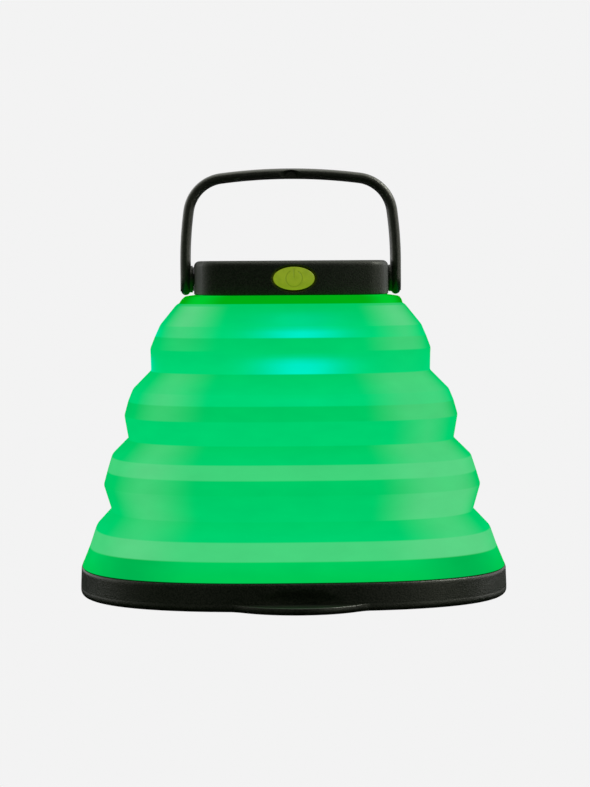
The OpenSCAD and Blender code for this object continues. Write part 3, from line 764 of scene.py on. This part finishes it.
def ring_section(x, front):
    """Half-width and height round the ring's section at a place x along the front side."""
    reach = tab_reach(x) if front else 0.0
    tabbed = smooth(reach, 0.0, 3.2)
    tip_w, tip_z = blend(RING_TIP, TAB_TIP, tabbed)
    lip_r = mix(0.05, 0.45, tabbed)
    edge = base_a + reach
    points = []
    for i in range(9):
        t = math.radians(90 * i / 8)
        points.append((edge - tip_w + tip_w * math.sin(t), tip_z * (1 - math.cos(t))))
    points += arc((edge - lip_r, TAB_T - lip_r), lip_r, 0, 90, 6)[1:]
    inner = base_a - (scoop(x, TAB_T) if front else 0.0)
    for i in range(1, 7):
        points.append((mix(edge - lip_r, inner, i / 6), TAB_T))
    for i in range(1, 11):
        z = mix(TAB_T, base_h - RING_TOP, i / 10)
        lean = BASE_LEAN * (z - TAB_T) / (base_h - TAB_T)
        points.append((base_a - lean - (scoop(x, z) if front else 0.0), z))
    points += arc((base_a - BASE_LEAN - RING_TOP, base_h - RING_TOP), RING_TOP, 15, 90, 5)
    ring_in = base_a - RING_WALL
    points += [(ring_in, base_h), (ring_in, z_ledge), (LEDGE_IN, z_ledge), (LEDGE_IN, plate_t),
               (FOOT_IN, plate_t), (FOOT_IN, 0.2), (FOOT_IN + 0.2, 0.0)]
    return points


def make_base():
    """The ring. Its front moves straight out to the tab, and the rest out from the middle."""
    steps = 560
    plan = superellipse(1.0, BASE_SQUARE, [TURN * i / steps for i in range(steps)])
    columns = [(ux, uy, uy < 0 and abs(ux) < 0.5) for ux, uy in plan]
    sections = [ring_section(ux * base_a, front) for ux, uy, front in columns]
    rings = []
    for row in zip(*sections):
        ring = []
        for (ux, uy, front), (a, z) in zip(columns, row):
            if front:
                ring.append((ux * base_a, uy * base_a - (a - base_a), z))
            else:
                ring.append((ux * a, uy * a, z))
        rings.append(ring)
    obj = mesh_object("ring", loft(rings, looped=True), 40)
    fit_in(obj, "base_plastic", "base", "base_ring")


def make_pads():
    """Four round feet with a groove in each face."""
    pad_r, face, edge = 4.0, 0.25, 0.35
    high = pads_high.z
    profile = [(0.01, face), (1.0, face), (1.3, 0.0), (pad_r - 1.5, 0.0), (pad_r - 1.2, face),
               (pad_r - 0.9, 0.0)]
    profile += arc((pad_r - edge, edge), edge, -90, 0, 4) + [(pad_r, high), (0.01, high)]
    pad = turned_profile(profile, 48)
    at = (pads_high.x - pads_low.x) / 2 - pad_r
    places = [(x * at, y * at, 0) for x in (-1, 1) for y in (-1, 1)]
    obj = mesh_object("pads", joined([moved(pad, Matrix.Translation(p)) for p in places]))
    fit_in(obj, "dark_rubber", "base", "foot_pads")


def screw_shape(head_r, z_face, z_seat, tip, shank_r):
    """A pan-head screw pointing up, whose head's face looks down."""
    edge = 0.35
    profile = [(0.01, tip + 0.3), (shank_r * 0.5, tip), (shank_r, tip - 0.5), (shank_r, z_seat),
               (head_r, z_seat)]
    profile += arc((head_r - edge, z_face + edge), edge, 0, -90, 4) + [(0.01, z_face)]
    return turned_profile(profile[::-1], 32)


def cross_cutter(size, width, z, depth):
    """A Phillips recess, open downwards."""
    arms = []
    for w, d in ((size, width), (width, size)):
        low = [(-w, -d, z - 0.2), (w, -d, z - 0.2), (w, d, z - 0.2), (-w, d, z - 0.2)]
        high = [(0.35 * x, 0.35 * y, z + depth) for x, y, _ in low]
        arms.append(loft([low, high], capped=True))
    return arms


def make_screws():
    head_r, head_t = 1.9, 1.0
    face = screws_low.z
    far = screws_high.x - head_r
    near = far * 2 ** (-1 / BASE_SQUARE)
    places = [(far, 0), (0, far), (-far, 0), (0, -far)]
    places += [(x * near, y * near) for x in (-1, 1) for y in (-1, 1)]
    one = mesh_object("screw", screw_shape(head_r, face, face + head_t, screws_high.z - 0.3, 0.95))
    carve(one, cross_cutter(1.15, 0.28, face, 0.7), 30)
    obj = mesh_object("ring_screws", ([], []))
    whole = bmesh.new()
    for k, (x, y) in enumerate(places):
        copy = one.data.copy()
        turn = Matrix.Rotation(math.radians(37 * k), 4, "Z")
        copy.transform(Matrix.Translation((x * MM, y * MM, 0)) @ turn)
        whole.from_mesh(copy)
        bpy.data.meshes.remove(copy)
    whole.to_mesh(obj.data)
    whole.free()
    obj.data.set_sharp_from_angle(angle=math.radians(30))
    bpy.data.objects.remove(one)
    fit_in(obj, "steel", "base", "base_screws")


# ---- head ----

OPENING_GAP = 0.25                   # gap round the button
CHAMFER = 0.45                       # chamfer round the button's opening
BUTTON_PLAY = 0.15                   # how much smaller the cap looks all round than in the frame
BORE_R = 1.53                        # bores for the pivot pins
BORE_DEEP = 9.0


def oval(w, h, steps=96):
    """An oval in the X-Z plane, counter-clockwise when seen from the front."""
    turns = [TURN * i / steps for i in range(steps)]
    return [(w / 2 * math.cos(t), h / 2 * math.sin(t)) for t in turns]


def button_cutter():
    """The button's opening, flared to a chamfer that follows the bowed wall."""
    w, h = BUTTON_W + 2 * OPENING_GAP, button_h + 2 * OPENING_GAP
    stations = [(-head_a - 1.0, CHAMFER + 0.95), (-head_a + CHAMFER * 0.8, 0.0),
                (-head_a + 4.0, 0.0)]
    rings = []
    for y, grow in stations:
        outline = oval(w + 2 * grow, h + 2 * grow)
        rings.append([(x, y + case_side(x), z_button + z) for x, z in outline])
    return loft([ring[::-1] for ring in rings], capped=True)


def block_shape(low, high):
    """A box between two corners."""
    ring = [(low[0], low[1]), (high[0], low[1]), (high[0], high[1]), (low[0], high[1])]
    return loft([[(x, y, z) for x, y in ring] for z in (low[2], high[2])], capped=True)


def rod_x(r, x0, x1, z, steps=48, edge=0.0, y=0.0):
    """A rod along X with chamfered ends."""
    turns = [TURN * i / steps for i in range(steps)]
    rings = []
    for x, radius in ((x0, r - edge), (x0 + edge, r), (x1 - edge, r), (x1, r - edge)):
        rings.append([(x, y + radius * math.cos(t), z + radius * math.sin(t)) for t in turns])
    return loft(rings, capped=True)


def make_case():
    chamfer, play = 0.25, 0.2
    port_half_w, port_low, port_high = 4.8, 5.3, 1.5
    floor_top = z_head + HEAD_FLOOR
    side_top = z_top - HEAD_EDGE
    rows = [case_ring(chamfer, z_head), case_ring(0, z_head + chamfer)]
    rows += [case_ring(0, mix(z_head + chamfer, side_top, i / 6)) for i in range(1, 6)]
    for i in range(10):
        t = math.radians(90 * i / 9)
        rows.append(case_ring(HEAD_EDGE * (1 - math.cos(t)), z_top - HEAD_EDGE * (1 - math.sin(t))))
    rows += [case_ring(RIM_W - chamfer, z_top), case_ring(RIM_W, z_top - chamfer)]
    rows += [case_ring(RIM_W, z_well), case_ring(HEAD_WALL, z_well)]
    rows.append(case_ring(HEAD_WALL, floor_top))
    for a, z in ((NECK_IN, floor_top), (NECK_IN, z_neck), (NECK_OUT, z_neck), (NECK_OUT, z_head)):
        rows.append([(x, y, z) for x, y in superellipse(a, NECK_SQUARE, CASE_ANGLES)])
    obj = mesh_object("case", loft(rows, looped=True), 32)
    recess = block_shape((-flap_w / 2 - play, head_a - 1.0, flap_low.z - play),
                         (flap_w / 2 + play, head_a + 4, z_top + 2))
    port = block_shape((-port_half_w, head_a - 5, z_hinge - port_low),
                       (port_half_w, head_a + 4, z_hinge - port_high))
    bores = [rod_x(BORE_R, x, x + BORE_DEEP, z_pivot) for x in (head_a - 6, -head_a - 3)]
    carve(obj, [button_cutter(), recess, port] + bores, 32)
    fit_in(obj, "case_plastic", "head", "head_shell")


SYMBOL_R = 2.25                      # radius of the power symbol's ring
SYMBOL_LINE = 0.36                   # width of its lines
SYMBOL_GAP = 30                      # half-angle of the gap at its top, in degrees


def symbol(x, z):
    """1 inside the lines of the power symbol and 0 outside them."""
    angle = abs(math.degrees(math.atan2(x, z)))
    r = math.hypot(x, z)
    if angle < SYMBOL_GAP:
        turn = math.radians(SYMBOL_GAP)
        end = (SYMBOL_R * math.sin(turn), SYMBOL_R * math.cos(turn))
        ring = math.hypot(abs(x) - end[0], z - end[1])
    else:
        ring = abs(r - SYMBOL_R)
    bar = math.hypot(x, z - min(max(z, 0.35), 2.6))
    return 1 - smooth(min(ring, bar), SYMBOL_LINE / 2 - 0.06, SYMBOL_LINE / 2 + 0.06)


def make_button():
    """A low domed oval with the power symbol engraved, and a straight side into the case."""
    rounding, dome, groove = 0.3, 0.3, 0.1
    steps, face_rings = 160, 64
    face_w, face_h = BUTTON_W - 2 * BUTTON_PLAY, button_h - 2 * BUTTON_PLAY
    rings, marks = [], []
    for k in range(face_rings + 1):
        share = max(k / face_rings, 0.004)
        grow = share * (1 - rounding * 2 / face_h)
        ring = []
        for x, z in oval(face_w * grow, face_h * grow, steps):
            mark = symbol(x, z)
            ring.append((x, button_face + dome * share ** 3 + groove * mark, z_button + z))
            marks.append(mark)
        rings.append(ring)
    sides = []
    for i in range(1, 6):
        t = math.radians(90 * i / 5)
        y = button_face + dome + rounding * (1 - math.cos(t))
        sides.append((y, rounding * (1 - math.sin(t))))
    sides.append((cap_high.y - 2.0, 0.0))
    for y, inset in sides:
        outline = oval(face_w - 2 * inset, face_h - 2 * inset, steps)
        rings.append([(x, y, z_button + z) for x, z in outline])
        marks += [0.0] * steps
    mesh = mesh_in_mm("button", loft(rings, capped=True))
    store = mesh.attributes.new("mark", "FLOAT", "POINT")
    store.data.foreach_set("value", marks)
    work = bmesh.new()
    work.from_mesh(mesh)
    bmesh.ops.recalc_face_normals(work, faces=work.faces)
    work.to_mesh(mesh)
    work.free()
    shade(mesh, 50)
    fit_in(placed("button", mesh), "button_silicone", "button", "button_cap")


def rounded_rectangle(w, h, r, steps=6):
    corners = [(w / 2 - r, h / 2 - r, 0), (r - w / 2, h / 2 - r, 90), (r - w / 2, r - h / 2, 180),
               (w / 2 - r, r - h / 2, 270)]
    return [p for x, z, start in corners for p in arc((x, z), r, start, start + 90, steps)]


def make_flap():
    """The port's soft cover: a plate with rounded edges, a plug, its hinge bead and a grip."""
    y_mid, t = flap_high.y - BEAD_R, 0.7
    h = z_hinge - flap_low.z
    middle = (z_hinge + flap_low.z) / 2
    layers = [(-t / 2, 0.2), (-t / 2 + 0.06, 0.06), (-t / 2 + 0.2, 0.0), (t / 2 - 0.2, 0.0),
              (t / 2 - 0.06, 0.06), (t / 2, 0.2)]
    plate = []
    for y, inset in layers:
        outline = rounded_rectangle(flap_w - 2 * inset, h - 2 * inset, 0.9)
        plate.append([(x, y_mid + y, middle + z) for x, z in outline])
    plug = block_shape((-4.1, flap_low.y, z_hinge - 4.6), (4.1, y_mid, z_hinge - 2.2))
    bead = rod_x(BEAD_R, -flap_w / 2, flap_w / 2, z_hinge, 24, 0.12, y_mid)
    grip = rod_x(0.22, -2.4, 2.4, flap_low.z + 0.8, 16, 0.1, y_mid + 0.27)
    obj = mesh_object("flap", joined([loft(plate, capped=True), plug, bead, grip]), 40)
    fit_in(obj, "dark_rubber", "flap", "port_cover")


# ---- handle ----

STRAP_EDGE = 1.05                    # rounding of the strap's four edges
STRAP_CROWN = 0.4                    # how far its broad faces fall back towards the edges


def strap_section():
    """The strap's section as (inset from the outer face, inset of the outline, side), where side
    runs from -1 to 1 over the strap's depth."""
    turns = [math.radians(90 * i / 6) for i in range(7)]
    edge = [(STRAP_EDGE * (1 - math.sin(t)), STRAP_EDGE * (1 - math.cos(t)), 1.0) for t in turns]
    flat = [(0.0, STRAP_EDGE, f) for f in (0.8, 0.6, 0.4, 0.2)]
    half = [(0.0, STRAP_EDGE, 0.0)] + flat[::-1] + edge[::-1]
    outer = []
    for s, d, f in half:
        outer.append((s + STRAP_CROWN * (f * (1 - d / bail_reach)) ** 2, d, f))
    inner = [(BAIL_T - s, d, f) for s, d, f in outer]
    front = outer + inner[::-1]
    return front + [(s, d, -f) for s, d, f in front[-2:0:-1]]


def bail_half(inset):
    """Right half of the handle's outline above the pivots, moved in by inset: a leg that is
    straight up to the case's top, then three arcs: leg, corner and top bar."""
    arch_z, leg_x = bail_top - BAIL_ARCH, bail_a - LEG_BEND
    arch_span, leg_span = BAIL_ARCH - BAIL_BEND, LEG_BEND - BAIL_BEND
    apart = math.hypot(leg_x, z_top - arch_z)
    opening = math.acos((arch_span ** 2 + apart ** 2 - leg_span ** 2) / (2 * arch_span * apart))
    high = math.atan2(z_top - arch_z, leg_x) - opening
    bend = (arch_span * math.cos(high), arch_z + arch_span * math.sin(high))
    low = math.degrees(math.atan2(bend[1] - z_top, bend[0] - leg_x))
    high = math.degrees(high)
    straight = [(bail_a - inset, mix(z_pivot, z_top, i / 3)) for i in range(3)]
    leg = arc((leg_x, z_top), LEG_BEND - inset, 0, low, 12)
    corner = arc(bend, BAIL_BEND - inset, low, high, 20)[1:]
    return straight + leg + corner + arc((0, arch_z), BAIL_ARCH - inset, high, 90, 14)[1:]


def strap_rings():
    """Sections from the round end under the right pivot, over the top, to the left one."""
    section = strap_section()
    rings = []
    for i in range(14, 0, -1):
        turn = math.radians(90 * i / 14)
        ring = []
        for s, d, f in section:
            reach = bail_reach - d
            ring.append((bail_a - s, -f * reach * math.cos(turn), z_pivot - reach * math.sin(turn)))
        rings.append(ring)
    outlines = [bail_half(s) for s, d, f in section]
    for row in zip(*outlines):
        rings.append([(x, -f * (bail_reach - d), z) for (x, z), (s, d, f) in zip(row, section)])
    mirrored = [[(-x, y, z) for x, y, z in ring] for ring in rings[:-1]]
    return rings + mirrored[::-1]


def notch_cutter(side):
    """The hook notch: an arch with a flared rim, sunk into the bar's front or back."""
    middle = bail_top - 2.85
    stations = [(bail_reach + 0.6, 4.5, 3.4), (bail_reach - 0.15, 3.2, 2.6),
                (bail_reach - 0.85, 2.0, 2.0), (bail_reach - 1.25, 1.8, 1.8)]
    rings = []
    for y, half_w, half_h in stations:
        outline = oval(2 * half_w, 2 * half_h, 48)
        rings.append([(x, side * y, middle + z) for x, z in outline])
    return loft(rings, capped=True)


def make_handle():
    obj = mesh_object("bail", loft(strap_rings(), capped=True), 45)
    carve(obj, [notch_cutter(-1), notch_cutter(1)], 40)
    mid_leg = bail_a - BAIL_T / 2
    spans = [(hub_x, mid_leg), (-mid_leg, -hub_x)]
    rods = [rod_x(HUB_R, x0, x1, z_pivot, 64, 0.05) for x0, x1 in spans]
    hub = mesh_object("hubs", joined(rods), 30)
    fit_in(obj, "case_plastic", "bail", "handle", look="handle_plastic")
    fit_in(hub, "case_plastic", "bail", look="handle_plastic")


# ---- studio ----

PAGE = 0.896                         # the pale backdrop, as linear light


def ray_share(tree, *kinds):
    """1 for rays of any of these kinds, else 0."""
    path = tree.nodes.new("ShaderNodeLightPath")
    share = path.outputs[kinds[0]]
    for kind in kinds[1:]:
        both = tree.nodes.new("ShaderNodeMath")
        both.operation = "MAXIMUM"
        tree.links.new(share, both.inputs[0])
        tree.links.new(path.outputs[kind], both.inputs[1])
        share = both.outputs[0]
    return share


def make_world():
    world = bpy.data.worlds.new("studio")
    scene.world = world
    world.use_nodes = True
    tree = world.node_tree
    tree.nodes.clear()
    page = tree.nodes.new("ShaderNodeBackground")
    page.inputs["Color"].default_value = (PAGE, PAGE, PAGE, 1)
    room = tree.nodes.new("ShaderNodeBackground")
    room.inputs["Color"].default_value = (0.2, 0.2, 0.2, 1)
    pick = tree.nodes.new("ShaderNodeMixShader")
    share = ray_share(tree, "Is Camera Ray", "Is Glossy Ray", "Is Transmission Ray")
    # In reflections the page is bright behind and beside the object and dim in front of it.
    place = tree.nodes.new("ShaderNodeTexCoord")
    split = tree.nodes.new("ShaderNodeSeparateXYZ")
    tree.links.new(place.outputs["Generated"], split.inputs[0])
    fade = tree.nodes.new("ShaderNodeMapRange")
    fade.interpolation_type = "SMOOTHSTEP"
    limits = {"From Min": -0.85, "From Max": 0.7, "To Min": 0.01, "To Max": 1.0}
    for socket, number in limits.items():
        fade.inputs[socket].default_value = number
    tree.links.new(split.outputs["Y"], fade.inputs["Value"])
    bright = tree.nodes.new("ShaderNodeMath")
    bright.operation = "MAXIMUM"
    tree.links.new(fade.outputs[0], bright.inputs[0])
    tree.links.new(ray_share(tree, "Is Camera Ray"), bright.inputs[1])
    tree.links.new(bright.outputs[0], page.inputs["Strength"])
    out = tree.nodes.new("ShaderNodeOutputWorld")
    tree.links.new(share, pick.inputs[0])
    tree.links.new(room.outputs[0], pick.inputs[1])
    tree.links.new(page.outputs[0], pick.inputs[2])
    tree.links.new(pick.outputs[0], out.inputs["Surface"])


def make_floor():
    size = 6.0
    mesh = bpy.data.meshes.new("floor")
    mesh.from_pydata([(-size, -size, 0), (size, -size, 0), (size, size, 0), (-size, size, 0)], [],
                     [(0, 1, 2, 3)])
    floor = placed("floor", mesh)
    floor.location.z = -0.0002
    material = bpy.data.materials.new("floor")
    material.use_nodes = True
    tree = material.node_tree
    tree.nodes.clear()
    ground = tree.nodes.new("ShaderNodeBsdfDiffuse")
    ground.inputs["Color"].default_value = (0.06, 0.06, 0.06, 1)
    page = tree.nodes.new("ShaderNodeEmission")
    page.inputs["Color"].default_value = (PAGE, PAGE, PAGE, 1)
    pick = tree.nodes.new("ShaderNodeMixShader")
    share = ray_share(tree, "Is Camera Ray", "Is Transmission Ray")
    out = tree.nodes.new("ShaderNodeOutputMaterial")
    tree.links.new(share, pick.inputs[0])
    tree.links.new(ground.outputs[0], pick.inputs[1])
    tree.links.new(page.outputs[0], pick.inputs[2])
    tree.links.new(pick.outputs[0], out.inputs["Surface"])
    mesh.materials.append(material)


def lamp(name, place, size, power):
    """A soft square light that looks at the object."""
    data = bpy.data.lights.new(name, "AREA")
    data.size = size
    data.energy = power
    obj = placed(name, data)
    obj.location = place
    obj.rotation_euler = (Vector((0, 0, 0.06)) - Vector(place)).to_track_quat("-Z", "Y").to_euler()
    obj.visible_diffuse = False


def make_lights():
    lamp("right_front", (0.7, -1.1, 0.2), 0.5, 0.5)
    lamp("right", (1.0, -0.6, 0.25), 0.6, 1.6)
    lamp("right_back", (1.1, 0.45, 0.2), 0.5, 1.0)
    lamp("right_high", (0.8, 0.0, 0.8), 0.4, 9)
    lamp("left_front", (-0.6, -1.1, 0.2), 0.5, 0.3)
    lamp("left", (-1.0, -0.5, 0.25), 0.5, 0.12)
    lamp("left_back", (-1.1, 0.45, 0.15), 0.5, 0.4)
    lamp("top", (0.05, 0.1, 1.1), 0.9, 3)


# ---- camera ----

EYE_FAR = 785.0                      # from the object's axis
EYE_HIGH = 91.0
EYE_YAW = 0.033                      # radians towards -X
EYE_ROLL = 0.36                      # degrees
AIM_HIGH = 55.1
AIM_SIDE = 1.0
LENS = 126.2                         # for a 36 mm sensor along the long side


def make_camera():
    data = bpy.data.cameras.new("camera")
    data.lens = LENS
    data.sensor_width = 36
    data.clip_start = 0.01
    data.clip_end = 50
    camera = placed("camera", data)
    eye = Vector((-EYE_FAR * math.sin(EYE_YAW), -EYE_FAR * math.cos(EYE_YAW), EYE_HIGH)) * MM
    aim = Vector((AIM_SIDE * math.cos(EYE_YAW), -AIM_SIDE * math.sin(EYE_YAW), AIM_HIGH)) * MM
    look = (aim - eye).to_track_quat("-Z", "Y").to_matrix().to_4x4()
    roll = Matrix.Rotation(math.radians(-EYE_ROLL), 4, "Z")
    camera.matrix_world = Matrix.Translation(eye) @ look @ roll
    scene.camera = camera


def paint_solids():
    """Gives each CAD solid that still shows the material of its slot."""
    for name, node in nodes.items():
        if not node.hide_render:
            node.data.materials.clear()
            node.data.materials.append(materials[slot_of[name]])


make_camera()
make_bellows()
make_base()
make_pads()
make_screws()
make_case()
make_button()
make_flap()
make_handle()
paint_solids()
make_world()
make_floor()
make_lights()
scene.view_settings.view_transform = "Standard"
